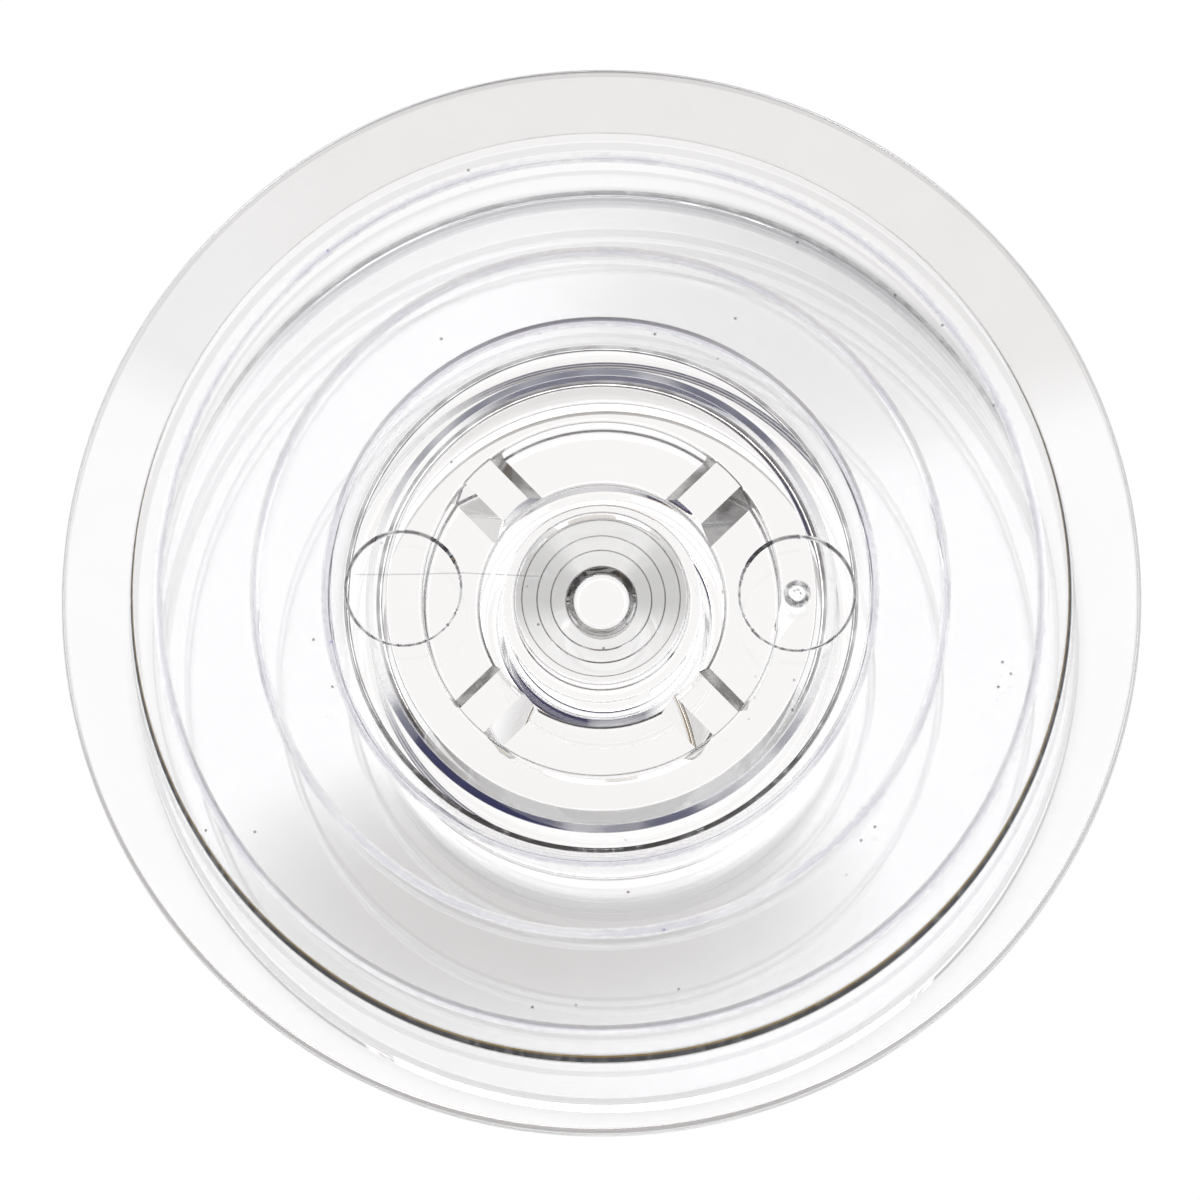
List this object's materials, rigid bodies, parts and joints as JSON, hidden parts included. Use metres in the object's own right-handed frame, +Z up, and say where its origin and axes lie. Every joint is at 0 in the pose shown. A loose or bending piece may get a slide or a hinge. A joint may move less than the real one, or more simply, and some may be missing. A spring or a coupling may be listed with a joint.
{
  "type": "sewing machine bobbin",
  "caption": "Clear moulded sewing machine bobbin: a wide upper and a smaller lower flange on a hollow barrel, gauge rings on the closed top, and a sleeve with a spindle bore and drive slots below.",
  "frame": {"origin": "centre of the lower face, on the axis of the spool, at the bottom of the box", "axes": "+Z up along the spool's axis to the closed top face; +X through the round mould mark that has the gate nub"},
  "size_m": [0.03, 0.03, 0.0095],
  "materials": {
    "clear_plastic": "clear, polished moulded plastic"
  },
  "bodies": {
    "root": {"bobbin": "clear_plastic"}
  },
  "joints": []
}
